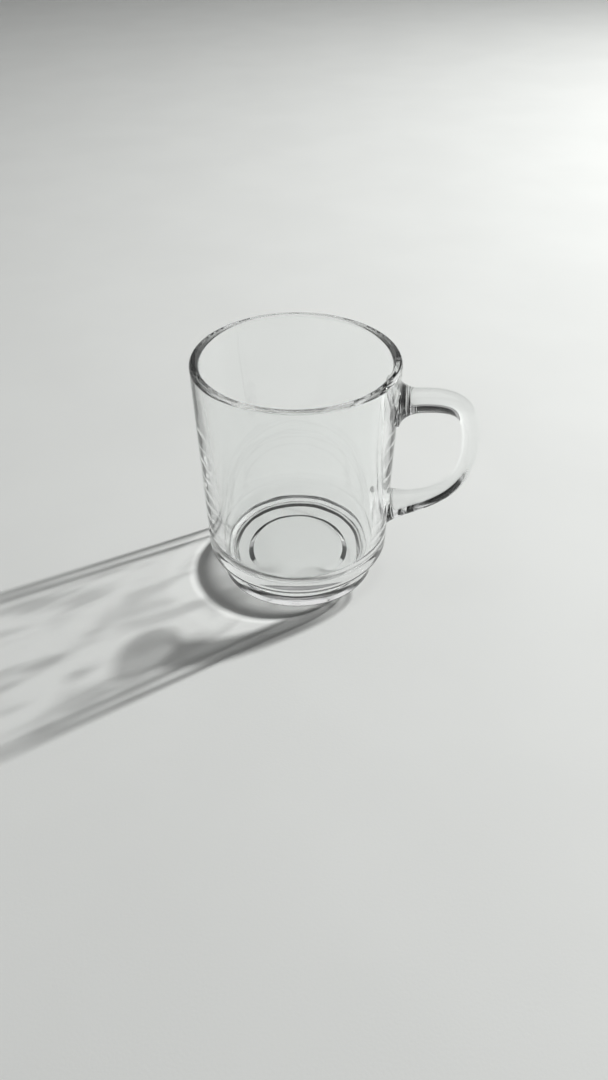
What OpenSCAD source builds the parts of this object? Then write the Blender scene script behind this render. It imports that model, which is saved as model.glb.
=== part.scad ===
// Clear pressed-glass mug that stacks: a tapered bowl on a stepped foot, and a D-shaped handle
// fused to its wall at an upper and a lower seat. Millimetres, +Z up. The origin is the centre
// of the foot's resting plane, on the bowl's axis, and the handle points along +X.

/* [Wall] */
// Height of the mug, from the table to the top of the rim
bowl_h = 90; // [78:1:110]
// Outer diameter of the wall's line at the rim
rim_d = 74; // [72:0.5:80]
// Outer diameter of the wall's line at the bottom of the shoulder
shoulder_d = 69.6; // [68:0.2:71]
// Thickness of the glass at the rim
rim_wall = 3.3; // [2.8:0.1:4.5]
// Radius of the two rounded edges of the rim
rim_round = 1.3; // [0.6:0.1:1.35]

/* [Foot] */
// Outer diameter of the foot at the table
foot_d = 59.8; // [58:0.2:61]
// Outer diameter of the foot where it meets the shoulder
neck_d = 61.2; // [60:0.2:63]
// Height of the foot, from the table to the notch under the shoulder
foot_h = 8.3; // [6:0.1:9]
// Height of the shoulder's corner line above the notch
shoulder_rise = 2; // [1:0.1:3]
// Radius of the rounded shoulder
shoulder_round = 5; // [3:0.1:5.5]
// Radius of the notch between the foot and the shoulder
notch_round = 1.2; // [0.6:0.1:1.5]
// Radius of the foot's rounded lower edge
foot_round = 0.6; // [0.3:0.1:1]

/* [Underside] */
// Width of the ring that the mug stands on, with the foot's rounded edge
ring_w = 1.3; // [1.2:0.1:2.5]
// Width of the slope from the ring up to the ledge inside it
slope_w = 2.8; // [1.5:0.1:4]
// Height of the flat ledge above the table
ledge_h = 1.2; // [0.6:0.1:2]
// Width of the ledge
ledge_w = 5.7; // [4:0.1:7]
// Radius of the round between the slope and the ledge
ledge_round = 0.5; // [0.2:0.1:1]
// Width of the bevel from the ledge up to the raised middle
bevel_w = 1.9; // [1.2:0.1:2.5]
// Rise of the flat middle above the ledge
middle_rise = 1.7; // [0.8:0.1:2.2]
// Radius of the two rounds that the bevel runs between
bevel_round = 0.4; // [0.2:0.1:1]

/* [Inside] */
// Inner diameter of the wall's line at the floor
floor_d = 59.8; // [56:0.2:62]
// Height of the inner floor above the table
floor_h = 11; // [9:0.1:14]
// Radius of the rounded corner between the floor and the wall
corner_round = 8.2; // [6:0.1:12]

/* [Handle] */
// Distance from the bowl's axis to the outermost point of the grip
reach = 67.7; // [62:0.1:76]
// Depth of the middle of the upper seat below the rim
upper_seat_drop = 17.8; // [14:0.2:22]
// Height of the middle of the lower seat above the table
lower_seat_h = 27; // [22:0.2:30]
// Thickness of the grip at its outermost point, seen from the side
grip_t = 6.4; // [5.5:0.1:8]
// Width of the grip at its outermost point, seen from the front
grip_w = 8.8; // [8:0.1:11]
// How fast the grip thins on its way down past the outermost point
grip_taper = 1.4; // [0:0.1:2]
// Thickness of the upper arm at its seat, under the flare
upper_arm_t = 8.4; // [7:0.1:10]
// Thickness that the upper arm tends to as it bends down
upper_bend_t = 7.9; // [6:0.1:9.5]
// Width of the upper arm
upper_arm_w = 11.8; // [10:0.1:14]
// Thickness of the lower arm at its seat, under the flare
lower_arm_t = 10.2; // [8:0.1:12]
// Thickness that the lower arm tends to as it bends
lower_bend_t = 4.8; // [4:0.1:7]
// Width of the lower arm at its seat, under the flare
lower_arm_w = 13.4; // [10:0.1:15]

/* [Flares at the seats] */
// How far the upper flare reaches from the wall
upper_flare_l = 7.8; // [5:0.1:12]
// How much the upper flare adds on the inner side of the loop
upper_flare_inner = 5.5; // [2:0.1:7]
// How much the upper flare adds on the outer side of the loop
upper_flare_outer = 7; // [2:0.1:9]
// How far the lower flare reaches from the wall
lower_flare_l = 14; // [6:0.5:18]
// How much the lower flare adds on the inner side of the loop
lower_flare_inner = 1.1; // [0.5:0.1:3]
// How much the lower flare adds on the outer side of the loop
lower_flare_outer = 2.8; // [1:0.1:4]

/* [Handle's curve] */
// How far the upper arm climbs before it turns down
upper_climb = 2.5; // [0:0.1:5]
// How far the lower arm's pull lies above its seat
lower_climb = 1.2; // [-2:0.1:5]
// Height of the outermost point above the lower seat, as a share of the seats' distance
outermost_share = 0.59; // [0.5:0.01:0.7]
// Length of the curve's pull out of the upper seat, as a share of the arm's span
upper_pull_share = 0.74; // [0.5:0.01:0.9]
// Length of the curve's pull out of the lower seat, as a share of the arm's span
lower_pull_share = 0.53; // [0.3:0.01:0.8]
// Length of the curve's pull up from the outermost point, as a share of the height above it
upper_turn_share = 1.01; // [0.6:0.01:1.1]
// Length of the curve's pull down from the outermost point, as a share of the height below it
lower_turn_share = 0.78; // [0.4:0.01:0.9]

/* [Hidden] */
$fn = 120;

glass = [0.80, 0.86, 0.84, 0.45];
rim_r = rim_d / 2;
shoulder_r = shoulder_d / 2;
neck_r = neck_d / 2;
foot_r = foot_d / 2;
floor_r = floor_d / 2;
ring_inner_r = foot_r - ring_w;
ledge_outer_r = ring_inner_r - slope_w;
ledge_inner_r = ledge_outer_r - ledge_w;
middle_r = ledge_inner_r - bevel_w;
middle_h = ledge_h + middle_rise;
shoulder_h = foot_h + shoulder_rise;

// Corners of the outer outline, before they are rounded, as [radius, height]
axis_foot = [0, 0];
foot_corner = [foot_r, 0];
neck_corner = [neck_r, foot_h];
shoulder_corner = [shoulder_r, shoulder_h];
rim_outer_corner = [rim_r, bowl_h];
rim_inner_corner = [rim_r - rim_wall, bowl_h];
axis_rim = [0, bowl_h];

// Corners of the inner outline
floor_corner = [floor_r, floor_h];
axis_floor = [0, floor_h];

// Corners of the underside's outline
ring_corner = [ring_inner_r, 0];
ledge_outer_corner = [ledge_outer_r, ledge_h];
ledge_inner_corner = [ledge_inner_r, ledge_h];
middle_corner = [middle_r, middle_h];
axis_middle = [0, middle_h];

// The handle's centre line runs in the XZ plane, from inside the wall to inside the wall
SIDES = 32;
STEPS = 40;
step_gather = 1.6;
flare_end_share = 0.97;
seat_depth = rim_wall / 2;
line_reach = reach - grip_t / 2;
upper_seat_h = bowl_h - upper_seat_drop;
seats_distance = upper_seat_h - lower_seat_h;
height_below = outermost_share * seats_distance;
height_above = seats_distance - height_below;
upper_seat = [wall_r(upper_seat_h) - seat_depth, upper_seat_h];
lower_seat = [wall_r(lower_seat_h) - seat_depth, lower_seat_h];
outermost = [line_reach, lower_seat_h + height_below];
upper_curve = [
    upper_seat,
    upper_seat + [upper_pull_share * (line_reach - upper_seat.x), upper_climb],
    outermost + [0, upper_turn_share * height_above],
    outermost
];
lower_curve = [
    lower_seat,
    lower_seat + [lower_pull_share * (line_reach - lower_seat.x), lower_climb],
    outermost - [0, lower_turn_share * height_below],
    outermost
];

// How thick and how wide each arm is along its curve, from the seat to the outermost point
upper_thicks = [upper_arm_t, upper_bend_t, grip_t + grip_taper, grip_t];
lower_thicks = [lower_arm_t, lower_bend_t, grip_t - grip_taper, grip_t];
upper_wides = [upper_arm_w, upper_arm_w, grip_w, grip_w];
lower_wides = [lower_arm_w, grip_w, grip_w, grip_w];

// Outer radius of the wall's line at height z
function wall_r(z) = shoulder_r + (rim_r - shoulder_r) * (z - shoulder_h) / (bowl_h - shoulder_h);

// Direction from one point to another, one unit long
function towards(from, to) = (to - from) / norm(to - from);

// Half of the angle at corner b of the path a, b, c
function half_angle(a, b, c) = acos(towards(b, a) * towards(b, c)) / 2;

// Where a round of radius r leaves the side that runs from corner b to a
function round_end(a, b, c, r) = b + towards(b, a) * r / tan(half_angle(a, b, c));

// Centre of a round of radius r in corner b
function round_centre(a, b, c, r) =
    let (bisector = towards(b, a) + towards(b, c))
    b + bisector / norm(bisector) * r / sin(half_angle(a, b, c));

// Both ends of the chord that cuts corner b, in path order
function chord(a, b, c, r) = [round_end(a, b, c, r), round_end(c, b, a, r)];

// Value of a cubic curve with four control values, numbers or points, at share t of the curve
function curve_at(c, t) =
    pow(1 - t, 3) * c[0] + 3 * pow(1 - t, 2) * t * c[1] + 3 * (1 - t) * t * t * c[2] + pow(t, 3) * c[3];

// Direction of the same curve at share t
function curve_slope(c, t) =
    pow(1 - t, 2) * (c[1] - c[0]) + 2 * (1 - t) * t * (c[2] - c[1]) + t * t * (c[3] - c[2]);

// A round of radius r in corner b
module round_at(a, b, c, r) {
    translate(round_centre(a, b, c, r)) circle(r);
}

// Outline of the bowl as if it were solid glass, right of the axis
module outer_outline() {
    difference() {
        union() {
            polygon(concat(
                [axis_foot],
                chord(axis_foot, foot_corner, neck_corner, foot_round),
                chord(foot_corner, neck_corner, shoulder_corner, notch_round),
                chord(neck_corner, shoulder_corner, rim_outer_corner, shoulder_round),
                chord(shoulder_corner, rim_outer_corner, axis_rim, rim_round),
                [axis_rim]
            ));
            round_at(axis_foot, foot_corner, neck_corner, foot_round);
            round_at(neck_corner, shoulder_corner, rim_outer_corner, shoulder_round);
            round_at(shoulder_corner, rim_outer_corner, axis_rim, rim_round);
        }
        round_at(foot_corner, neck_corner, shoulder_corner, notch_round);
    }
}

// Outline of the drink's space, with the rim's inner edge rounded away
module inner_outline() {
    inner_round = round_centre(axis_rim + [rim_r, 0], rim_inner_corner, floor_corner, rim_round);
    rim_chord = chord(floor_corner, rim_inner_corner, rim_outer_corner, rim_round);
    difference() {
        polygon(concat(
            [axis_floor],
            [round_end(axis_floor, floor_corner, rim_inner_corner, corner_round)],
            [round_end(rim_inner_corner, floor_corner, axis_floor, corner_round)],
            [rim_chord[0], rim_chord[1], [rim_chord[1].x, bowl_h + rim_wall], [0, bowl_h + rim_wall]]
        ));
        translate(inner_round) circle(rim_round);
    }
    round_at(axis_floor, floor_corner, rim_inner_corner, corner_round);
}

// Outline of the recess under the floor: a slope, a ledge, a bevel and the flat middle
module recess_outline() {
    difference() {
        union() {
            polygon(concat(
                [[0, -middle_h], [ring_inner_r, -middle_h], ring_corner],
                chord(ring_corner, ledge_outer_corner, ledge_inner_corner, ledge_round),
                chord(ledge_outer_corner, ledge_inner_corner, middle_corner, bevel_round),
                chord(ledge_inner_corner, middle_corner, axis_middle, bevel_round),
                [axis_middle]
            ));
            round_at(ring_corner, ledge_outer_corner, ledge_inner_corner, ledge_round);
            round_at(ledge_inner_corner, middle_corner, axis_middle, bevel_round);
        }
        round_at(ledge_outer_corner, ledge_inner_corner, middle_corner, bevel_round);
    }
}

// The bowl: wall, rim, shoulder, foot and floor, one gather of glass
module bowl() {
    color(glass) rotate_extrude() difference() {
        outer_outline();
        inner_outline();
        recess_outline();
    }
}

// What a flare adds to each side of an arm, where the arm's bare skin has that gap to the wall
function flare(gap, length, size) =
    let (q = flare_end_share * min(1, max(0, 1 - gap / length)))
    size * (1 - sqrt(1 - q * q));

// Point on an oval section. Turn 0 lies in the curve's plane, on the inner side of the loop.
function section_point(centre, inward, turn, thick, wide) =
    let (in_plane = centre + inward * cos(turn) * thick / 2)
    [in_plane.x, sin(turn) * wide / 2, in_plane.y];

// One ring of the handle's skin, with the flare that it carries near the wall
function ring(centre, inward, thick, wide, flare_l, flare_inner, flare_outer) = [
    for (k = [0 : SIDES - 1])
        let (
            turn = 360 * k / SIDES,
            bare = section_point(centre, inward, turn, thick, wide),
            gap = norm([bare.x, bare.y]) - wall_r(bare.z),
            flare_size = flare_outer + (flare_inner - flare_outer) * (1 + cos(turn)) / 2,
            grown = 2 * flare(gap, flare_l, flare_size)
        )
        section_point(centre, inward, turn, thick + grown, wide + grown)];

// The rings of one arm, from its seat to the outermost point, closest together at the seat.
// The loop's inner side is to the right of the upper arm's curve and to the left of the lower's.
function arm(curve, thicks, wides, flare_l, flare_inner, flare_outer, inner_side) = [
    for (k = [0 : STEPS])
        let (
            t = pow(k / STEPS, step_gather),
            slope = curve_slope(curve, t),
            inward = inner_side * [slope.y, -slope.x] / norm(slope)
        )
        ring(
            curve_at(curve, t), inward, curve_at(thicks, t), curve_at(wides, t),
            flare_l, flare_inner, flare_outer
        )];

module handle() {
    upper_arm = arm(
        upper_curve, upper_thicks, upper_wides,
        upper_flare_l, upper_flare_inner, upper_flare_outer, 1
    );
    lower_arm = arm(
        lower_curve, lower_thicks, lower_wides,
        lower_flare_l, lower_flare_inner, lower_flare_outer, -1
    );
    rings = concat(upper_arm, [for (k = [STEPS - 1 : -1 : 0]) lower_arm[k]]);
    count = len(rings);
    points = [for (r = rings) each r];
    skin = [
        for (i = [0 : count - 2], k = [0 : SIDES - 1])
            let (
                a = i * SIDES + k,
                b = i * SIDES + (k + 1) % SIDES
            )
            each [[a, a + SIDES, b], [b, a + SIDES, b + SIDES]]
    ];
    first_end = [[for (k = [0 : SIDES - 1]) k]];
    last_end = [[for (k = [SIDES - 1 : -1 : 0]) (count - 1) * SIDES + k]];
    color(glass) difference() {
        polyhedron(points, concat(first_end, skin, last_end));
        rotate_extrude() outer_outline();
    }
}

bowl();
handle();
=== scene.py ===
"""Dresses the clear glass mug: a tapered bowl on a stepped foot, with a handle fused to its wall.

The bowl is turned from its outline and the handle is swept along its curve, both with Geometry
Nodes. The two are then cut along the seam where they meet, so that light passes from one gather
of glass into the other with nothing in between. Metres, +Z up, as in the frame.
"""
import logging
import math
from dataclasses import dataclass, field
from enum import Enum
from functools import reduce

import bmesh
import bpy
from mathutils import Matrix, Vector


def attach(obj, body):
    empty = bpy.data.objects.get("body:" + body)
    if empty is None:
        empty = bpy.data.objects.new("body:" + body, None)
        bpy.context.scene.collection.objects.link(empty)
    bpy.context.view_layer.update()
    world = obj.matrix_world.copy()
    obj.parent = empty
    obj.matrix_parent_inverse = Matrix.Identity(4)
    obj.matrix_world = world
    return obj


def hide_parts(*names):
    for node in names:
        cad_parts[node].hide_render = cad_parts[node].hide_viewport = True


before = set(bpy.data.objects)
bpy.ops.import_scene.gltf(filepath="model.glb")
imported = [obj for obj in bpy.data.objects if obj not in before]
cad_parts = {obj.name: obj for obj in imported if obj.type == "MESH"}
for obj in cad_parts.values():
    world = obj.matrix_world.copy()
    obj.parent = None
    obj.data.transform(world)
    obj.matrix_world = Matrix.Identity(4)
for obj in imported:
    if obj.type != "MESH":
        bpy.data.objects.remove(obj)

MM = 0.001
WELD_DISTANCE = 0.001 * MM
SEAM_DISTANCE = 0.0005 * MM
Band = tuple[float, float]
Triple = tuple[float, float, float]
log = logging.getLogger("mug")


class Slot(Enum):
    """The record's material slots."""

    BOWL = "bowl_glass"
    HANDLE = "handle_glass"


class Side(Enum):
    """Which side of its curve the inner side of the handle's loop lies on."""

    RIGHT = 1
    LEFT = -1


class NodeTree:
    """A node tree with named inputs, built one node at a time."""

    entry: bpy.types.Node
    exit: bpy.types.Node

    def __init__(self, tree: bpy.types.NodeTree) -> None:
        """Keeps the tree that the nodes go into."""
        self.tree = tree

    def open_ends(self) -> None:
        """Adds the nodes where the tree's inputs come in and its outputs go out."""
        self.entry = self.tree.nodes.new("NodeGroupInput")
        self.exit = self.tree.nodes.new("NodeGroupOutput")

    @classmethod
    def modifier(cls, name: str) -> "NodeTree":
        """Starts a Geometry Nodes tree with a geometry input and output.

        Args:
            name: The tree's name.

        Returns:
            The new tree, empty but for its two ends.
        """
        tree = bpy.data.node_groups.new(name, "GeometryNodeTree")
        tree.is_modifier = True
        made = cls(tree)
        made.socket("Geometry", "NodeSocketGeometry")
        made.socket("Geometry", "NodeSocketGeometry", "OUTPUT")
        made.open_ends()
        return made

    @classmethod
    def group(cls, name: str, inputs: tuple[str, ...], outputs: tuple[str, ...]) -> "NodeTree":
        """Starts a shader node group whose inputs and outputs are all numbers.

        Args:
            name: The group's name.
            inputs: The names of its inputs.
            outputs: The names of its outputs.

        Returns:
            The new tree, empty but for its two ends.
        """
        made = cls(bpy.data.node_groups.new(name, "ShaderNodeTree"))
        for key in inputs:
            made.socket(key, "NodeSocketFloat")
        for key in outputs:
            made.socket(key, "NodeSocketFloat", "OUTPUT")
        made.open_ends()
        return made

    def socket(self, name: str, kind: str, way: str = "INPUT") -> None:
        """Adds a named input or output to the tree."""
        self.tree.interface.new_socket(name=name, in_out=way, socket_type=kind)

    def node(self, kind: str, inputs: dict | None = None, **settings: object) -> bpy.types.Node:
        """Adds a node.

        Args:
            kind: The node's type name.
            inputs: What each input takes: a socket to link, or a plain value. The keys are names or
                indices.
            **settings: Properties of the node itself.

        Returns:
            The new node.
        """
        made = self.tree.nodes.new(kind)
        for key, value in settings.items():
            setattr(made, key, value)
        for key, value in (inputs or {}).items():
            self.feed(made.inputs[key], value)
        return made

    def feed(self, target: bpy.types.NodeSocket, value: object) -> None:
        """Links a socket into another, or sets the other's plain value.

        Args:
            target: The input.
            value: What it takes.
        """
        if isinstance(value, bpy.types.NodeSocket):
            self.tree.links.new(value, target)
        else:
            target.default_value = value

    def math(self, operation: str, first: object, second: object = 0.0) -> bpy.types.NodeSocket:
        """Returns the result of one calculation on numbers."""
        return self.node("ShaderNodeMath", {0: first, 1: second}, operation=operation).outputs[0]

    def product(self, *factors: object) -> bpy.types.NodeSocket:
        """Returns the product of two or more numbers."""
        return reduce(lambda one, other: self.math("MULTIPLY", one, other), factors)

    def vector_math(
        self, operation: str, first: object, second: object = None
    ) -> bpy.types.NodeSocket:
        """Calculates with vectors.

        Args:
            operation: The node's operation.
            first: The first vector.
            second: The second vector, or a number for SCALE.

        Returns:
            The resulting vector, or the number for LENGTH.
        """
        inputs = {0: first}
        if second is not None:
            inputs["Scale" if operation == "SCALE" else 1] = second
        made = self.node("ShaderNodeVectorMath", inputs, operation=operation)
        return made.outputs["Value" if operation == "LENGTH" else "Vector"]

    def ease(
        self, value: object, band: Band, before: float, after: float
    ) -> bpy.types.NodeSocket:
        """Makes a smooth step.

        Args:
            value: The value that the step depends on.
            band: Where the step starts and ends on that value.
            before: The level before the band.
            after: The level after it.

        Returns:
            The level.
        """
        start, end = band
        inputs = {"Value": value, "From Min": start, "From Max": end}
        inputs.update({"To Min": before, "To Max": after})
        made = self.node("ShaderNodeMapRange", inputs, interpolation_type="SMOOTHSTEP")
        return made.outputs["Result"]

    def noise(self, place: object, scale: object, detail: float) -> bpy.types.NodeSocket:
        """Returns a smooth noise of a place, between nought and one."""
        inputs = {"Vector": place, "Scale": scale, "Detail": detail}
        return self.node("ShaderNodeTexNoise", inputs).outputs[0]

    def combine(self, x: object, y: object, z: object) -> bpy.types.NodeSocket:
        """Returns a vector made of three numbers."""
        return self.node("ShaderNodeCombineXYZ", {0: x, 1: y, 2: z}).outputs[0]

    def separate(self, vector: bpy.types.NodeSocket) -> tuple[bpy.types.NodeSocket, ...]:
        """Returns a vector's three numbers."""
        return tuple(self.node("ShaderNodeSeparateXYZ", {0: vector}).outputs)

    def sample(
        self, mesh: bpy.types.NodeSocket, value: object, row: object, kind: str
    ) -> bpy.types.NodeSocket:
        """Returns a value of a mesh's points, read by the point's number.

        Args:
            mesh: The mesh that is read.
            value: What is read there.
            row: The point's number.
            kind: FLOAT or FLOAT_VECTOR.

        Returns:
            The value at that point.
        """
        made = self.node("GeometryNodeSampleIndex", data_type=kind, domain="POINT")
        for key, taken in {"Geometry": mesh, "Value": value, "Index": row}.items():
            self.feed(made.inputs[key], taken)
        return made.outputs["Value"]

    def attribute(self, name: str, kind: str) -> bpy.types.NodeSocket:
        """Returns a named attribute of the points."""
        made = self.node("GeometryNodeInputNamedAttribute", {"Name": name}, data_type=kind)
        return made.outputs["Attribute"]

    def place(self) -> bpy.types.NodeSocket:
        """Returns the position of the points."""
        return self.node("GeometryNodeInputPosition").outputs[0]

    def on_piece(self) -> tuple[bpy.types.NodeSocket, ...]:
        """Returns a shaded point's place on its piece: the vector, x, y, z and the radius."""
        place = self.node("ShaderNodeTexCoord").outputs["Object"]
        x, y, z = self.separate(place)
        return place, x, y, z, self.vector_math("LENGTH", self.combine(x, y, 0.0))


class SurfaceTree(NodeTree):
    """A tree that lays a grid along a row of points: one column of faces for each side of a turn.

    Attributes:
        line: The row of points that comes in.
        grid: The flat grid, before its points are placed.
        row: The number of the row that a grid point is in.
        turn: The angle round the section or the axis that a grid point is at.
    """

    line: bpy.types.NodeSocket
    grid: bpy.types.NodeSocket
    row: bpy.types.NodeSocket
    turn: bpy.types.NodeSocket

    @classmethod
    def start(cls, name: str, counts: str) -> "SurfaceTree":
        """Starts the tree and its grid.

        Args:
            name: The tree's name.
            counts: The name of the input that says how many sides a turn has.

        Returns:
            The tree, with the grid's row number and turn angle at hand.
        """
        made = cls.modifier(name)
        made.socket(counts, "NodeSocketInt")
        made.socket("Weld Distance", "NodeSocketFloat")
        made.socket("Material", "NodeSocketMaterial")
        made.line = made.entry.outputs["Geometry"]
        sides = made.entry.outputs[counts]
        line = {"Geometry": made.line}
        size = made.node("GeometryNodeAttributeDomainSize", line, component="MESH")
        rows = size.outputs["Point Count"]
        counted = {"Vertices X": made.math("ADD", sides, 1.0), "Vertices Y": rows}
        made.grid = made.node("GeometryNodeMeshGrid", counted).outputs["Mesh"]
        index = made.node("GeometryNodeInputIndex").outputs["Index"]
        made.row = made.math("MODULO", index, rows)
        column = made.math("FLOOR", made.math("DIVIDE", index, rows))
        made.turn = made.math("MULTIPLY", made.math("DIVIDE", column, sides), math.tau)
        return made

    def finish(self, position: bpy.types.NodeSocket) -> bpy.types.NodeTree:
        """Moves the grid's points into place and closes its seam and poles.

        Args:
            position: Where each point of the grid goes.

        Returns:
            The finished tree.
        """
        steps = (
            ("GeometryNodeSetPosition", {"Position": position}),
            ("GeometryNodeMergeByDistance", {"Distance": self.entry.outputs["Weld Distance"]}),
            ("GeometryNodeSetShadeSmooth", {}),
            ("GeometryNodeRealizeInstances", {}),
            ("GeometryNodeSetMaterial", {"Material": self.entry.outputs["Material"]}),
        )
        surface = self.grid
        for kind, inputs in steps:
            surface = self.node(kind, {"Geometry": surface, **inputs}).outputs[0]
        self.feed(self.exit.inputs["Geometry"], surface)
        return self.tree


def turned_surface() -> bpy.types.NodeTree:
    """Builds the tree that turns an outline, drawn as radius and height, about the Z axis.

    Returns:
        The Geometry Nodes tree.
    """
    tree = SurfaceTree.start("Turned Glass", "Segments")
    point = tree.sample(tree.line, tree.place(), tree.row, "FLOAT_VECTOR")
    radius, _, height = tree.separate(point)
    x = tree.math("MULTIPLY", radius, tree.math("COSINE", tree.turn))
    y = tree.math("MULTIPLY", radius, tree.math("SINE", tree.turn))
    return tree.finish(tree.combine(x, y, height))


def drawn_surface() -> bpy.types.NodeTree:
    """Builds the tree that sweeps an oval along a curve and flares it near the bowl's wall.

    Returns:
        The Geometry Nodes tree.
    """
    tree = SurfaceTree.start("Drawn Glass", "Sides")
    for name in ("Wall Base Radius", "Wall Base Height", "Wall Slope", "Flare End"):
        tree.socket(name, "NodeSocketFloat")

    def read(name: str, kind: str = "FLOAT") -> bpy.types.NodeSocket:
        """Returns one of the curve's attributes at this row."""
        return tree.sample(tree.line, tree.attribute(name, kind), tree.row, kind)

    centre = tree.sample(tree.line, tree.place(), tree.row, "FLOAT_VECTOR")
    inward = read("inward", "FLOAT_VECTOR")
    cosine = tree.math("COSINE", tree.turn)
    sine = tree.math("SINE", tree.turn)

    def section_point(grown: object) -> bpy.types.NodeSocket:
        """Places a point on the oval.

        Args:
            grown: How much both half sizes of the oval have grown.

        Returns:
            The point's place.
        """
        thick = tree.math("ADD", read("half_thick"), grown)
        wide = tree.math("ADD", read("half_wide"), grown)
        in_plane = tree.vector_math("SCALE", inward, tree.math("MULTIPLY", cosine, thick))
        across = tree.combine(0.0, tree.math("MULTIPLY", sine, wide), 0.0)
        return tree.vector_math("ADD", tree.vector_math("ADD", centre, in_plane), across)

    x, y, z = tree.separate(section_point(0.0))
    rise = tree.math("SUBTRACT", z, tree.entry.outputs["Wall Base Height"])
    wall = tree.math("MULTIPLY", rise, tree.entry.outputs["Wall Slope"])
    wall = tree.math("ADD", wall, tree.entry.outputs["Wall Base Radius"])
    gap = tree.math("SUBTRACT", tree.vector_math("LENGTH", tree.combine(x, y, 0.0)), wall)
    near = tree.math("SUBTRACT", 1.0, tree.math("DIVIDE", gap, read("flare_reach")))
    near = tree.math("MINIMUM", tree.math("MAXIMUM", near, 0.0), 1.0)
    near = tree.math("MULTIPLY", near, tree.entry.outputs["Flare End"])
    left = tree.math("SQRT", tree.math("SUBTRACT", 1.0, tree.math("MULTIPLY", near, near)))
    share = tree.math("DIVIDE", tree.math("ADD", cosine, 1.0), 2.0)
    inner = tree.math("MULTIPLY", read("flare_inner"), share)
    outer = tree.math("MULTIPLY", read("flare_outer"), tree.math("SUBTRACT", 1.0, share))
    size = tree.math("ADD", inner, outer)
    grown = tree.math("MULTIPLY", size, tree.math("SUBTRACT", 1.0, left))
    return tree.finish(section_point(grown))


def apply_tree(
    line: bpy.types.Object, tree: bpy.types.NodeTree, values: dict[str, object]
) -> bpy.types.Mesh:
    """Runs a tree on an object and bakes the result.

    Args:
        line: The object whose mesh goes in. It is removed afterwards.
        tree: The Geometry Nodes tree.
        values: The value of each named input.

    Returns:
        The plain mesh that came out.
    """
    modifier = line.modifiers.new(tree.name, "NODES")
    modifier.node_group = tree
    for item in tree.interface.items_tree:
        if item.item_type == "SOCKET" and item.in_out == "INPUT" and item.name in values:
            modifier[item.identifier] = values[item.name]
    depsgraph = bpy.context.evaluated_depsgraph_get()
    mesh = bpy.data.meshes.new_from_object(line.evaluated_get(depsgraph))
    line.modifiers.remove(modifier)
    bpy.data.objects.remove(line)
    outward(mesh)
    return mesh


def outward(mesh: bpy.types.Mesh) -> None:
    """Turns a closed mesh's faces outwards.

    Args:
        mesh: The mesh, which is changed in place.
    """
    work = bmesh.new()
    work.from_mesh(mesh)
    bmesh.ops.recalc_face_normals(work, faces=work.faces)
    work.to_mesh(mesh)
    work.free()


def new_object(name: str, mesh: bpy.types.Mesh) -> bpy.types.Object:
    """Puts a mesh into the scene at the origin.

    Args:
        name: The object's name.
        mesh: Its mesh.

    Returns:
        The object.
    """
    made = bpy.data.objects.new(name, mesh)
    bpy.context.scene.collection.objects.link(made)
    return made


def polyline(name: str, points: list[Vector]) -> bpy.types.Object:
    """Puts an open line of points into the scene.

    Args:
        name: The object's name.
        points: Its points, in order.

    Returns:
        The object.
    """
    mesh = bpy.data.meshes.new(name)
    mesh.from_pydata(points, [(i, i + 1) for i in range(len(points) - 1)], [])
    return new_object(name, mesh)


@dataclass(frozen=True)
class Corner:
    """A corner of an outline, as radius and height, with the radius that it is rounded to."""

    radius: float
    height: float
    round: float = 0.0

    @property
    def point(self) -> Vector:
        """The corner before it is rounded."""
        return Vector((self.radius, self.height))


@dataclass
class Outline:
    """An outline of straight runs and rounded corners.

    Along the runs the points are closest together next to the rounds.
    """

    corners: list[Corner]
    arc_step: float = math.radians(3.0)
    fewest_arc_steps: int = 2
    first_step: float = 0.05 * MM
    first_share: float = 0.25
    growth: float = 1.5
    longest_step: float = 1.6 * MM

    def arc(self, before: Vector, corner: Corner, after: Vector) -> list[Vector]:
        """Rounds one corner.

        Args:
            before: The corner before it.
            corner: The corner that is rounded.
            after: The corner after it.

        Returns:
            The points of the round, in order.
        """
        if not corner.round:
            return [corner.point]
        back = (before - corner.point).normalized()
        on = (after - corner.point).normalized()
        half = back.angle(on) / 2
        centre = corner.point + (back + on).normalized() * corner.round / math.sin(half)
        start = corner.point + back * corner.round / math.tan(half) - centre
        end = corner.point + on * corner.round / math.tan(half) - centre
        first = math.atan2(start.y, start.x)
        swing = math.remainder(math.atan2(end.y, end.x) - first, math.tau)
        count = max(self.fewest_arc_steps, math.ceil(abs(swing) / self.arc_step))
        turns = [first + swing * k / count for k in range(count + 1)]
        return [centre + corner.round * Vector((math.cos(a), math.sin(a))) for a in turns]

    def run(self, start: Vector, end: Vector) -> list[Vector]:
        """Spaces points along a straight run.

        Args:
            start: Where the run starts.
            end: Where it ends.

        Returns:
            The points between the two.
        """
        length = (end - start).length
        steps = []
        reach = step = min(self.first_step, length * self.first_share)
        while reach < length / 2:
            steps.append(reach)
            step = min(step * self.growth, self.longest_step)
            reach += step
        places = steps + [length - s for s in reversed(steps)]
        return [start.lerp(end, place / length) for place in places]

    def points(self) -> list[Vector]:
        """Draws the outline.

        Returns:
            Its points, from the first corner to the last.
        """
        sharp = [c.point for c in self.corners]
        rounds = [[sharp[0]]]
        for i in range(1, len(sharp) - 1):
            rounds.append(self.arc(sharp[i - 1], self.corners[i], sharp[i + 1]))
        rounds.append([sharp[-1]])
        drawn = list(rounds[0])
        for one, other in zip(rounds, rounds[1:]):
            drawn += self.run(one[-1], other[0]) + other
        return drawn


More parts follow.
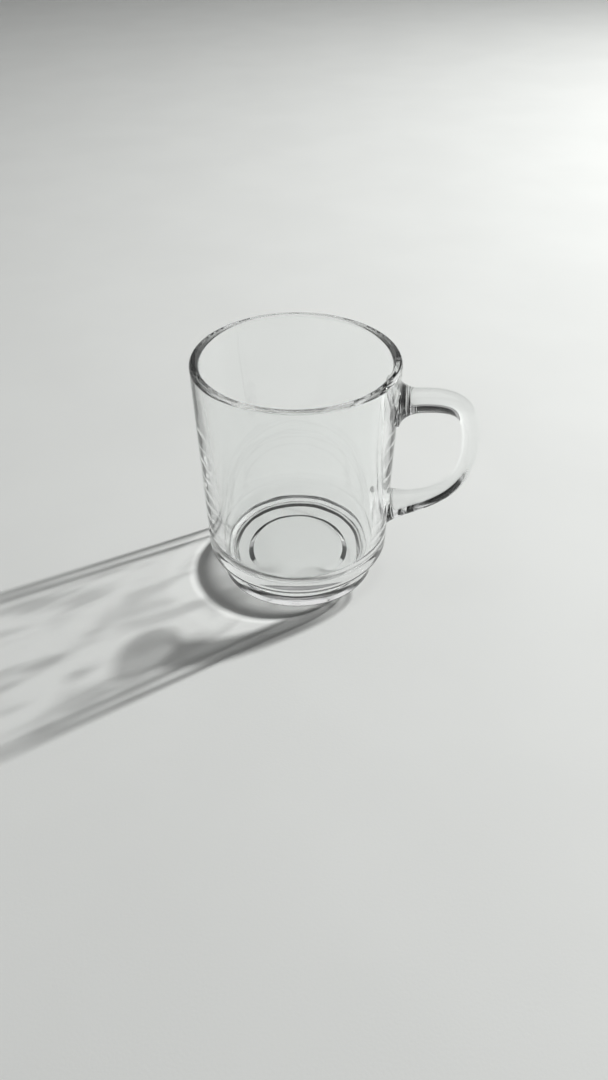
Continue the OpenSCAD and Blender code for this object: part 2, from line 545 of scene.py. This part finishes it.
@dataclass
class Bowl:
    """The drinking vessel: wall, rim, shoulder, foot and floor, one gather of glass."""

    height: float = 90 * MM
    rim_diameter: float = 74 * MM
    shoulder_diameter: float = 69.6 * MM
    rim_wall: float = 3.3 * MM
    rim_round: float = 1.3 * MM
    foot_diameter: float = 59.8 * MM
    neck_diameter: float = 61.2 * MM
    foot_height: float = 8.3 * MM
    shoulder_rise: float = 2 * MM
    shoulder_round: float = 5 * MM
    notch_round: float = 1.2 * MM
    foot_round: float = 0.6 * MM
    ring_width: float = 1.3 * MM
    slope_width: float = 2.8 * MM
    ledge_height: float = 1.2 * MM
    ledge_width: float = 5.7 * MM
    ledge_round: float = 0.5 * MM
    bevel_width: float = 1.9 * MM
    middle_rise: float = 1.7 * MM
    bevel_round: float = 0.4 * MM
    floor_diameter: float = 59.8 * MM
    floor_height: float = 11 * MM
    corner_round: float = 8.2 * MM
    segments: int = 192

    @property
    def shoulder_height(self) -> float:
        """Height of the shoulder's corner line."""
        return self.foot_height + self.shoulder_rise

    @property
    def wall_slope(self) -> float:
        """How much the wall's outer radius grows with height."""
        growth = (self.rim_diameter - self.shoulder_diameter) / 2
        return growth / (self.height - self.shoulder_height)

    def wall_radius(self, height: float) -> float:
        """Outer radius of the wall's line at a height."""
        return self.shoulder_diameter / 2 + self.wall_slope * (height - self.shoulder_height)

    def recess(self) -> list[Corner]:
        """Draws the recess under the floor: raised middle, bevel, ledge and slope to the ring.

        Returns:
            Its corners, from the axis to the ring.
        """
        ring = self.foot_diameter / 2 - self.ring_width
        ledge_outer = ring - self.slope_width
        ledge_inner = ledge_outer - self.ledge_width
        middle = ledge_inner - self.bevel_width
        middle_height = self.ledge_height + self.middle_rise
        return [
            Corner(0.0, middle_height),
            Corner(middle, middle_height, self.bevel_round),
            Corner(ledge_inner, self.ledge_height, self.bevel_round),
            Corner(ledge_outer, self.ledge_height, self.ledge_round),
            Corner(ring, 0.0),
        ]

    def outline(self) -> list[Vector]:
        """Draws the whole section.

        Returns:
            Its points, from the middle of the recess round the rim to the middle of the floor.
        """
        rim = self.rim_diameter / 2
        corners = [
            Corner(self.foot_diameter / 2, 0.0, self.foot_round),
            Corner(self.neck_diameter / 2, self.foot_height, self.notch_round),
            Corner(self.shoulder_diameter / 2, self.shoulder_height, self.shoulder_round),
            Corner(rim, self.height, self.rim_round),
            Corner(rim - self.rim_wall, self.height, self.rim_round),
            Corner(self.floor_diameter / 2, self.floor_height, self.corner_round),
            Corner(0.0, self.floor_height),
        ]
        return Outline(self.recess() + corners).points()

    def build(self, glass: bpy.types.Material) -> bpy.types.Mesh:
        """Turns the outline into a closed surface.

        Args:
            glass: The glass that the faces take.

        Returns:
            The mesh.
        """
        points = [Vector((p.x, 0.0, p.y)) for p in self.outline()]
        line = polyline("bowl_outline", points)
        values = {"Segments": self.segments, "Weld Distance": WELD_DISTANCE, "Material": glass}
        return apply_tree(line, turned_surface(), values)


def cubic(controls: list, t: float) -> object:
    """Value of a cubic curve with four control values, numbers or vectors."""
    a, b, c, d = controls
    return (1 - t) ** 3 * a + 3 * (1 - t) ** 2 * t * b + 3 * (1 - t) * t * t * c + t ** 3 * d


def cubic_slope(controls: list, t: float) -> Vector:
    """Direction of the same curve."""
    a, b, c, d = controls
    return (1 - t) ** 2 * (b - a) + 2 * (1 - t) * t * (c - b) + t * t * (d - c)


@dataclass
class Flare:
    """How an arm widens where it meets the wall."""

    reach: float
    inner: float
    outer: float


@dataclass
class Arm:
    """One arm of the handle, from its seat to the outermost point."""

    curve: list[Vector]
    thicks: list[float]
    wides: list[float]
    flare: Flare
    side: Side
    steps: int = 56
    gather: float = 1.6

    def rows(self) -> list[dict[str, object]]:
        """Works out the rings of the arm, closest together at the seat.

        Returns:
            One row of values for each ring, from the seat to the outermost point.
        """
        rows = []
        for k in range(self.steps + 1):
            t = (k / self.steps) ** self.gather
            slope = cubic_slope(self.curve, t).normalized()
            inward = Vector((slope.z, 0.0, -slope.x)) * self.side.value
            rows.append({
                "centre": cubic(self.curve, t),
                "inward": inward,
                "half_thick": cubic(self.thicks, t) / 2,
                "half_wide": cubic(self.wides, t) / 2,
                "flare_reach": self.flare.reach,
                "flare_inner": self.flare.inner,
                "flare_outer": self.flare.outer,
            })
        return rows


@dataclass
class Handle:
    """The D-shaped handle: a second gather of glass, oval in section, fused to the bowl's wall."""

    bowl: Bowl
    reach: float = 67.7 * MM
    upper_seat_drop: float = 17.8 * MM
    lower_seat_height: float = 27 * MM
    grip_thickness: float = 6.4 * MM
    grip_width: float = 8.8 * MM
    grip_taper: float = 1.4 * MM
    upper_arm_thickness: float = 8.4 * MM
    upper_bend_thickness: float = 7.9 * MM
    upper_arm_width: float = 11.8 * MM
    lower_arm_thickness: float = 10.2 * MM
    lower_bend_thickness: float = 4.8 * MM
    lower_arm_width: float = 13.4 * MM
    upper_flare: Flare = field(default_factory=lambda: Flare(7.8 * MM, 5.5 * MM, 7 * MM))
    lower_flare: Flare = field(default_factory=lambda: Flare(14 * MM, 1.1 * MM, 2.8 * MM))
    upper_climb: float = 2.5 * MM
    lower_climb: float = 1.2 * MM
    outermost_share: float = 0.59
    upper_pull_share: float = 0.74
    lower_pull_share: float = 0.53
    upper_turn_share: float = 1.01
    lower_turn_share: float = 0.78
    flare_end_share: float = 0.97
    sides: int = 64

    def seat(self, height: float) -> Vector:
        """Where the centre line starts, half way into the wall."""
        return Vector((self.bowl.wall_radius(height) - self.bowl.rim_wall / 2, 0.0, height))

    def arms(self) -> tuple[Arm, Arm]:
        """Lays out the two arms.

        Returns:
            The upper and the lower arm.
        """
        upper = self.seat(self.bowl.height - self.upper_seat_drop)
        lower = self.seat(self.lower_seat_height)
        below = self.outermost_share * (upper.z - lower.z)
        above = upper.z - lower.z - below
        outermost = Vector((self.reach - self.grip_thickness / 2, 0.0, lower.z + below))
        upper_out = self.upper_pull_share * (outermost.x - upper.x)
        lower_out = self.lower_pull_share * (outermost.x - lower.x)
        upper_pull = Vector((upper_out, 0.0, self.upper_climb))
        lower_pull = Vector((lower_out, 0.0, self.lower_climb))
        turn_up = Vector((0.0, 0.0, self.upper_turn_share * above))
        turn_down = Vector((0.0, 0.0, self.lower_turn_share * below))
        grip, taper = self.grip_thickness, self.grip_taper
        width = self.grip_width
        return (
            Arm(
                curve=[upper, upper + upper_pull, outermost + turn_up, outermost],
                thicks=[self.upper_arm_thickness, self.upper_bend_thickness, grip + taper, grip],
                wides=[self.upper_arm_width, self.upper_arm_width, width, width],
                flare=self.upper_flare,
                side=Side.RIGHT,
            ),
            Arm(
                curve=[lower, lower + lower_pull, outermost - turn_down, outermost],
                thicks=[self.lower_arm_thickness, self.lower_bend_thickness, grip - taper, grip],
                wides=[self.lower_arm_width, width, width, width],
                flare=self.lower_flare,
                side=Side.LEFT,
            ),
        )

    def build(self, glass: bpy.types.Material) -> bpy.types.Mesh:
        """Sweeps the section along both arms and caps its two ends inside the wall.

        Args:
            glass: The glass that the faces take.

        Returns:
            The mesh, closed.
        """
        upper, lower = (arm.rows() for arm in self.arms())
        rows = upper + lower[-2::-1]
        line = polyline("handle_curve", [row["centre"] for row in rows])
        for name in rows[0]:
            if name != "centre":
                store_attribute(line.data, name, [row[name] for row in rows])
        values = {
            "Sides": self.sides,
            "Weld Distance": WELD_DISTANCE,
            "Material": glass,
            "Wall Base Radius": self.bowl.wall_radius(0.0),
            "Wall Base Height": 0.0,
            "Wall Slope": self.bowl.wall_slope,
            "Flare End": self.flare_end_share,
        }
        mesh = apply_tree(line, drawn_surface(), values)
        cap_ends(mesh)
        return mesh


def store_attribute(mesh: bpy.types.Mesh, name: str, values: list) -> None:
    """Stores numbers or vectors on a mesh's points.

    Args:
        mesh: The mesh.
        name: The attribute's name.
        values: One value for each point.
    """
    if isinstance(values[0], Vector):
        attribute = mesh.attributes.new(name, "FLOAT_VECTOR", "POINT")
        attribute.data.foreach_set("vector", [c for v in values for c in v])
    else:
        attribute = mesh.attributes.new(name, "FLOAT", "POINT")
        attribute.data.foreach_set("value", values)


def cap_ends(mesh: bpy.types.Mesh) -> None:
    """Closes a tube's open ends and turns its faces outwards.

    Args:
        mesh: The tube, which is changed in place.
    """
    work = bmesh.new()
    work.from_mesh(mesh)
    rims = [edge for edge in work.edges if edge.is_boundary]
    bmesh.ops.holes_fill(work, edges=rims, sides=0)
    bmesh.ops.recalc_face_normals(work, faces=work.faces)
    work.to_mesh(mesh)
    work.free()


class Weld:
    """The two seats where handle and wall are fused.

    Both meshes are cut there along one shared seam. While they are cut, material index GLASS marks
    the bowl's faces and SEAM the handle's. Afterwards they mark a piece's skin and its fused faces.
    """

    GLASS = 0
    SEAM = 1

    def __init__(
        self, bowl: bpy.types.Mesh, handle: bpy.types.Mesh, weld: bpy.types.Material
    ) -> None:
        """Marks the faces of both meshes and puts them into the scene.

        Args:
            bowl: The bowl's closed mesh.
            handle: The handle's closed mesh.
            weld: The finish of the fused faces.
        """
        for mesh, index in ((bowl, self.GLASS), (handle, self.SEAM)):
            mesh.materials.append(weld)
            mesh.polygons.foreach_set("material_index", [index] * len(mesh.polygons))
        self.bowl = new_object("bowl_source", bowl)
        self.handle = new_object("handle_source", handle)

    def combined(self, operation: str) -> bmesh.types.BMesh:
        """Unites or intersects the two.

        Args:
            operation: UNION or INTERSECT.

        Returns:
            The result, with the faces still marked as the bowl's or the handle's.
        """
        modifier = self.bowl.modifiers.new("cut", "BOOLEAN")
        modifier.operation = operation
        modifier.solver = "EXACT"
        modifier.object = self.handle
        depsgraph = bpy.context.evaluated_depsgraph_get()
        mesh = bpy.data.meshes.new_from_object(self.bowl.evaluated_get(depsgraph))
        self.bowl.modifiers.remove(modifier)
        work = bmesh.new()
        work.from_mesh(mesh)
        bpy.data.meshes.remove(mesh)
        return work

    def pieces(self) -> tuple[bpy.types.Mesh, bpy.types.Mesh]:
        """Cuts bowl and handle apart along the seam.

        Returns:
            The bowl's mesh and the handle's mesh. Each is closed, and its fused faces wear the
            second material.
        """
        outside = self.combined("UNION")
        inside = self.combined("INTERSECT")
        patch = marked(inside, self.GLASS)
        bowl = assemble("bowl", marked(outside, self.GLASS), patch, False)
        handle = assemble("handle", marked(outside, self.SEAM), patch, True)
        for work in (outside, inside):
            work.free()
        for source in (self.bowl, self.handle):
            bpy.data.objects.remove(source)
        return bowl, handle


def marked(work: bmesh.types.BMesh, index: int) -> list[bmesh.types.BMFace]:
    """Returns the faces that have a material index."""
    return [face for face in work.faces if face.material_index == index]


def assemble(name: str, skin: list, patch: list, turned: bool) -> bpy.types.Mesh:
    """Joins a piece's skin to the fused patch.

    Args:
        name: The mesh's name.
        skin: The faces that show.
        patch: The faces of the fused seats.
        turned: Whether the patch faces the other way on this piece.

    Returns:
        The closed mesh. The patch wears the second material, and on the handle its edge is sharp.
    """
    work = bmesh.new()
    for faces, index in ((skin, Weld.GLASS), (patch, Weld.SEAM)):
        made = {}
        for face in faces:
            for vertex in face.verts:
                if vertex not in made:
                    made[vertex] = work.verts.new(vertex.co)
            ring = [made[vertex] for vertex in face.verts]
            if turned and index == Weld.SEAM:
                ring.reverse()
            new = work.faces.new(ring)
            new.material_index = index
            new.smooth = True
    bmesh.ops.remove_doubles(work, verts=work.verts, dist=SEAM_DISTANCE)
    for edge in work.edges:
        kinds = {face.material_index for face in edge.link_faces}
        edge.smooth = not (turned and len(kinds) > 1)
    open_edges = sum(len(edge.link_faces) != 2 for edge in work.edges)
    log.info("%s: %d faces, %d open edges", name, len(work.faces), open_edges)
    mesh = bpy.data.meshes.new(name)
    work.to_mesh(mesh)
    work.free()
    return mesh


@dataclass(frozen=True)
class PressedSkin:
    """A fire-polished skin: slow waves, a stippled slope inside the foot and dull patches.

    The stipple fades out above stipple_top in height and beyond stipple_rim in radius.
    """

    wave_detail: float = 1.0
    stipples: float = 900.0
    stipple_share: float = 0.15
    stipple_top: Band = (0.9 * MM, 1.2 * MM)
    stipple_rim: Band = (28.4 * MM, 28.8 * MM)
    patches: float = 140.0
    patch_detail: float = 3.0
    patch_edge: Band = (0.56, 0.72)

    def build(self) -> bpy.types.NodeTree:
        """Builds the skin's shader group.

        Returns:
            A group that puts out a bump's height and a roughness.
        """
        inputs = ("Waves per Metre", "Dull Roughness")
        tree = NodeTree.group("Pressed Skin", inputs, ("Height", "Roughness"))
        place, _, _, z, radius = tree.on_piece()
        waves = tree.noise(place, tree.entry.outputs["Waves per Metre"], self.wave_detail)
        stipple = tree.product(
            tree.ease(z, self.stipple_top, 1.0, 0.0),
            tree.ease(radius, self.stipple_rim, 1.0, 0.0),
            tree.noise(place, self.stipples, 0.0),
            self.stipple_share,
        )
        tree.feed(tree.exit.inputs["Height"], tree.math("ADD", waves, stipple))
        dull = tree.noise(place, self.patches, self.patch_detail)
        dull = tree.ease(dull, self.patch_edge, 0.0, 1.0)
        roughness = tree.product(dull, tree.entry.outputs["Dull Roughness"])
        tree.feed(tree.exit.inputs["Roughness"], roughness)
        return tree.tree


@dataclass(frozen=True)
class StraightLight:
    """How the glass lets through what lights the table: straight, by a share that varies.

    The share is painted light and shade: painted shade round the foot, along grazing edges and in
    upright streaks, and a painted bright ring above the foot, in place of the light that the glass
    bends.

    A band of height, radius or noise is where an effect sets in or ends.

    Attributes:
        upper_share: The share that the upper body passes; below one it paints a darker shadow.
        lower_share: The share that the lower body passes; below one it paints a darker shadow.
        edge_share: The share that is left where light grazes the skin, which paints shade along the
            shadow's edges in place of the light that the real glass bends away.
        painted_foot_shadow: How much painted shadow the foot casts at its top, in place of the
            light its thick glass bends away.
        foot_low_share: How much of that painted shadow is left at the table.
        painted_ring_light: How much painted light a thin bright ring above the foot adds.
        ring_tail: How much of that painted light is left above the ring.
        painted_streak_shade: How much painted shade an upright streak casts.
        streak_stretch: The streaks' frequency upwards, as a share of that round the wall.
    """

    upper_share: float = 1.0
    lower_share: float = 1.0
    body: Band = (35 * MM, 55 * MM)
    edge_share: float = 0.15
    grazing: Band = (0.6, 0.97)
    outer_skin: Band = (30.5 * MM, 31.5 * MM)
    inner_wall: Band = (18 * MM, 20 * MM)
    painted_foot_shadow: float = 0.95
    foot_top: Band = (7.4 * MM, 8.6 * MM)
    foot_low_share: float = 0.35
    foot_fade: Band = (1.0 * MM, 6.5 * MM)
    foot_skin: Band = (28 * MM, 28.5 * MM)
    painted_ring_light: float = 0.3
    ring_start: Band = (8.5 * MM, 8.7 * MM)
    ring_fall: Band = (8.8 * MM, 9.3 * MM)
    ring_tail: float = 0.2
    ring_end: Band = (13.0 * MM, 15.0 * MM)
    painted_streak_shade: float = 0.28
    streaks: float = 140.0
    streak_stretch: float = 0.35
    streak_detail: float = 2.0
    streak_edge: Band = (0.34, 0.48)
    streak_start: Band = (30 * MM, 48 * MM)

    def body_share(self, tree: NodeTree, z: object, radius: object) -> bpy.types.NodeSocket:
        """Works out the share that the body passes, with painted shade where light grazes its wall.

        Args:
            tree: The material's tree.
            z: A point's height.
            radius: Its distance from the axis.

        Returns:
            The share.
        """
        facing = tree.node("ShaderNodeLayerWeight", {"Blend": 0.5}).outputs["Facing"]
        outer = tree.ease(radius, self.outer_skin, 0.0, 1.0)
        wall = tree.math("MAXIMUM", outer, tree.ease(z, self.inner_wall, 0.0, 1.0))
        # Painted shade where light grazes the wall, which darkens the shadow's edges.
        edge = tree.ease(tree.product(facing, wall), self.grazing, 1.0, self.edge_share)
        return tree.product(edge, tree.ease(z, self.body, self.lower_share, self.upper_share))

    def foot_share(self, tree: NodeTree, z: object, radius: object) -> bpy.types.NodeSocket:
        """Works out the share that the foot's side passes where light comes in, with its painted
        shadow.

        Args:
            tree: The material's tree.
            z: A point's height.
            radius: Its distance from the axis.

        Returns:
            The share, which is above one in the painted bright ring.
        """
        outside = tree.ease(radius, self.foot_skin, 0.0, 1.0)
        backfacing = tree.node("ShaderNodeNewGeometry").outputs["Backfacing"]
        entering = tree.math("SUBTRACT", 1.0, backfacing)
        top = tree.ease(z, self.foot_top, self.painted_foot_shadow, 0.0)
        fade = tree.ease(z, self.foot_fade, self.foot_low_share, 1.0)
        # A painted bright ring of light just above the foot, on the side where light comes in.
        ring = tree.product(
            tree.ease(z, self.ring_start, 0.0, 1.0),
            tree.ease(z, self.ring_fall, 1.0, self.ring_tail),
            tree.ease(z, self.ring_end, 1.0, 0.0),
            outside,
            entering,
            self.painted_ring_light,
        )
        # Painted shadow round the foot, where light comes in from outside.
        shaded = tree.math("SUBTRACT", 1.0, tree.product(top, fade, outside, entering))
        return tree.math("ADD", shaded, ring)

    def streak_share(
        self, tree: NodeTree, x: object, y: object, z: object
    ) -> bpy.types.NodeSocket:
        """Works out the share that the upright streaks of painted shade pass.

        Args:
            tree: The material's tree.
            x: A point's place along the handle.
            y: Its place across it.
            z: Its height.

        Returns:
            The share.
        """
        # Painted streaks of shade in the cast shadow, from a fixed noise stretched upwards.
        stretched = tree.combine(x, y, tree.product(z, self.streak_stretch))
        noise = tree.noise(stretched, self.streaks, self.streak_detail)
        share = tree.ease(noise, self.streak_edge, 1.0 - self.painted_streak_shade, 1.0)
        return tree.math("MAXIMUM", share, tree.ease(z, self.streak_start, 1.0, 0.0))

    def shader(self, tree: NodeTree) -> bpy.types.NodeSocket:
        """Builds the shader that rays to and from the table meet; its colour is the painted shadow
        and painted bright ring that they carry.

        Args:
            tree: The material's tree.

        Returns:
            The shader.
        """
        _, x, y, z, radius = tree.on_piece()
        share = tree.product(
            self.body_share(tree, z, radius),
            self.foot_share(tree, z, radius),
            self.streak_share(tree, x, y, z),
        )
        colour = tree.combine(share, share, share)
        return tree.node("ShaderNodeBsdfTransparent", {"Color": colour}).outputs[0]


@dataclass(frozen=True)
class GlassFinish:
    """Clear pressed glass with a faint grey-green body colour."""

    name: str
    skin: bpy.types.NodeTree
    straight: StraightLight = StraightLight()
    ior: float = 1.5
    colour: tuple[float, float, float, float] = (0.988, 0.996, 0.993, 1.0)
    waves: float = 70.0
    wave_height: float = 0.07 * MM
    dull_roughness: float = 0.03

    def build(self) -> bpy.types.Material:
        """Makes the material.

        Returns:
            The material.
        """
        material = bpy.data.materials.new(self.name)
        material.use_nodes = True
        tree = NodeTree(material.node_tree)
        shader = tree.tree.nodes["Principled BSDF"]
        shader.inputs["Base Color"].default_value = self.colour
        shader.inputs["Transmission Weight"].default_value = 1.0
        shader.inputs["IOR"].default_value = self.ior
        inputs = {"Waves per Metre": self.waves, "Dull Roughness": self.dull_roughness}
        skin = tree.node("ShaderNodeGroup", inputs, node_tree=self.skin)
        tree.feed(shader.inputs["Roughness"], skin.outputs["Roughness"])
        bump = {"Strength": 1.0, "Distance": self.wave_height, "Height": skin.outputs["Height"]}
        tree.feed(shader.inputs["Normal"], tree.node("ShaderNodeBump", bump).outputs["Normal"])
        out = tree.tree.nodes["Material Output"]
        ray = tree.node("ShaderNodeLightPath").outputs
        # Shadow rays and the table's diffuse rays meet the painted-shadow shader in place of the
        # glass.
        straight = tree.math("MAXIMUM", ray["Is Shadow Ray"], ray["Is Diffuse Ray"])
        shaders = {0: straight, 1: shader.outputs[0], 2: self.straight.shader(tree)}
        tree.feed(out.inputs["Surface"], tree.node("ShaderNodeMixShader", shaders).outputs[0])
        return material


@dataclass(frozen=True)
class WeldFinish:
    """The fused seat inside the glass: nothing to see, since both gathers have become one."""

    name: str = "fused_seat"

    def build(self) -> bpy.types.Material:
        """Makes the material.

        Returns:
            The material.
        """
        material = bpy.data.materials.new(self.name)
        material.use_nodes = True
        material.node_tree.nodes["Principled BSDF"].inputs["Alpha"].default_value = 0.0
        return material


@dataclass(frozen=True)
class TableFinish:
    """A matt pale table top with a fine grain."""

    colour: Triple = (0.775, 0.79, 0.77)
    roughness: float = 0.6
    specular: float = 0.2
    mottle: float = 0.012
    clouds: float = 14.0
    cloud_detail: float = 4.0
    cloud_edge: Band = (0.3, 0.7)
    grains: float = 1100.0
    grain_detail: float = 2.0
    grain_height: float = 0.02 * MM

    def build(self) -> bpy.types.Material:
        """Makes the material.

        Returns:
            The material.
        """
        material = bpy.data.materials.new("pale_table")
        material.use_nodes = True
        tree = NodeTree(material.node_tree)
        shader = tree.tree.nodes["Principled BSDF"]
        place = tree.node("ShaderNodeTexCoord").outputs["Object"]
        cloud = tree.noise(place, self.clouds, self.cloud_detail)
        shade = tree.ease(cloud, self.cloud_edge, 1.0 - self.mottle, 1.0 + self.mottle)
        tree.feed(shader.inputs["Base Color"], tree.vector_math("SCALE", self.colour, shade))
        tree.feed(shader.inputs["Roughness"], tree.math("MULTIPLY", shade, self.roughness))
        shader.inputs["Specular IOR Level"].default_value = self.specular
        grain = tree.noise(place, self.grains, self.grain_detail)
        bump = {"Strength": 1.0, "Distance": self.grain_height, "Height": grain}
        tree.feed(shader.inputs["Normal"], tree.node("ShaderNodeBump", bump).outputs["Normal"])
        return material


@dataclass
class Studio:
    """The camera, the table and the light. The room's bands are places on the unit sphere."""

    camera_place: Triple = (3.46 * MM, -281.0 * MM, 237.4 * MM)
    camera_pitch: float = math.radians(39.14)
    camera_roll: float = math.radians(0.24)
    lens: float = 30.0
    sensor: float = 36.0
    near_clip: float = 10 * MM
    table_size: float = 8.0
    table_drop: float = 0.05 * MM
    lamp_place: Triple = (1.29, 0.745, 1.07)
    lamp_size: float = 0.055
    lamp_spread: float = math.radians(142.0)
    lamp_power: float = 23.4
    horizon: float = 0.4
    walls: float = 0.008
    horizon_top: Band = (0.06, 0.16)
    soft_light: float = 0.78
    soft_light_rim: Band = (0.66, 0.78)
    soft_light_front: Band = (0.0, 0.2)
    backdrop: float = 0.5
    glass_bounces: int = 20
    diffuse_bounces: int = 4
    straight_bounces: int = 16

    def place_camera(self) -> None:
        """Sets the camera where the photograph was taken from."""
        data = bpy.data.cameras.new("camera")
        data.lens = self.lens
        data.sensor_fit = "VERTICAL"
        data.sensor_height = self.sensor
        data.clip_start = self.near_clip
        camera = bpy.data.objects.new("camera", data)
        camera.location = self.camera_place
        camera.rotation_mode = "XYZ"
        camera.rotation_euler = (math.pi / 2 - self.camera_pitch, self.camera_roll, 0.0)
        bpy.context.scene.collection.objects.link(camera)
        bpy.context.scene.camera = camera

    def lay_table(self) -> None:
        """Lays the table top just under the foot."""
        half = self.table_size / 2
        corners = [(-half, -half), (half, -half), (half, half), (-half, half)]
        mesh = bpy.data.meshes.new("table")
        mesh.from_pydata([(x, y, -self.table_drop) for x, y in corners], [], [(0, 1, 2, 3)])
        mesh.materials.append(TableFinish().build())
        table = new_object("table", mesh)

    def hang_lamp(self) -> None:
        """Hangs the key lamp to the right, behind the mug."""
        data = bpy.data.lights.new("key_lamp", "AREA")
        data.shape = "DISK"
        data.size = self.lamp_size
        data.spread = self.lamp_spread
        data.energy = self.lamp_power
        lamp = bpy.data.objects.new("key_lamp", data)
        lamp.location = self.lamp_place
        lamp.rotation_mode = "QUATERNION"
        lamp.rotation_quaternion = Vector(self.lamp_place).to_track_quat("Z", "Y")
        bpy.context.scene.collection.objects.link(lamp)

    def light_room(self) -> None:
        """Gives the room a pale horizon, dark walls and one broad soft light, high behind the mug.

        The camera itself sees a plain pale backdrop in place of the room.
        """
        world = bpy.data.worlds.new("room")
        world.use_nodes = True
        bpy.context.scene.world = world
        tree = NodeTree(world.node_tree)
        _, depth, height = tree.separate(tree.node("ShaderNodeTexCoord").outputs["Generated"])
        low = tree.ease(height, self.horizon_top, self.horizon, self.walls)
        overhead = tree.ease(height, self.soft_light_rim, 0.0, self.soft_light)
        behind = tree.ease(depth, self.soft_light_front, 0.0, 1.0)
        room = tree.math("ADD", low, tree.product(overhead, behind))
        to_camera = tree.node("ShaderNodeLightPath").outputs["Is Camera Ray"]
        unseen = tree.product(room, tree.math("SUBTRACT", 1.0, to_camera))
        total = tree.math("ADD", unseen, tree.product(to_camera, self.backdrop))
        background = world.node_tree.nodes["Background"]
        tree.feed(background.inputs["Color"], tree.combine(total, total, total))

    def build(self) -> None:
        """Sets up the whole studio."""
        self.place_camera()
        self.lay_table()
        self.hang_lamp()
        self.light_room()
        scene = bpy.context.scene
        scene.view_settings.view_transform = "Standard"
        scene.cycles.max_bounces = self.glass_bounces
        scene.cycles.transmission_bounces = self.glass_bounces
        scene.cycles.glossy_bounces = self.glass_bounces
        scene.cycles.diffuse_bounces = self.diffuse_bounces
        scene.cycles.transparent_max_bounces = self.straight_bounces


def mount(
    mesh: bpy.types.Mesh, finishes: tuple[bpy.types.Material, ...], node: str
) -> None:
    """Puts a finished mesh in a CAD node's place.

    Args:
        mesh: The piece's mesh.
        finishes: The finish of its skin and that of its fused faces.
        node: The CAD node that it stands for.
    """
    for finish in finishes:
        mesh.materials.append(finish)
    piece = new_object(node + "_glass", mesh)
    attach(piece, "root")
    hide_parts(node)
    log.info("%s stands for node %s", piece.name, node)


def main() -> None:
    """Builds and dresses the mug."""
    logging.basicConfig(level=logging.INFO, format="%(name)s: %(message)s")
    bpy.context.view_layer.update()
    Studio().build()
    weld = WeldFinish().build()
    skin = PressedSkin().build()
    bowl_glass = GlassFinish(Slot.BOWL.value, skin).build()
    # The handle passes less straight light: a painted darker shadow under its thick glass.
    handle_light = StraightLight(upper_share=0.48, lower_share=0.85)
    handle_glass = GlassFinish(Slot.HANDLE.value, skin, handle_light).build()
    bowl = Bowl()
    handle = Handle(bowl)
    closed = Weld(bowl.build(bowl_glass), handle.build(handle_glass), weld)
    bowl_mesh, handle_mesh = closed.pieces()
    mount(bowl_mesh, (bowl_glass, weld), "bowl")
    mount(handle_mesh, (handle_glass, weld), "handle")


if __name__ == "__main__":
    main()
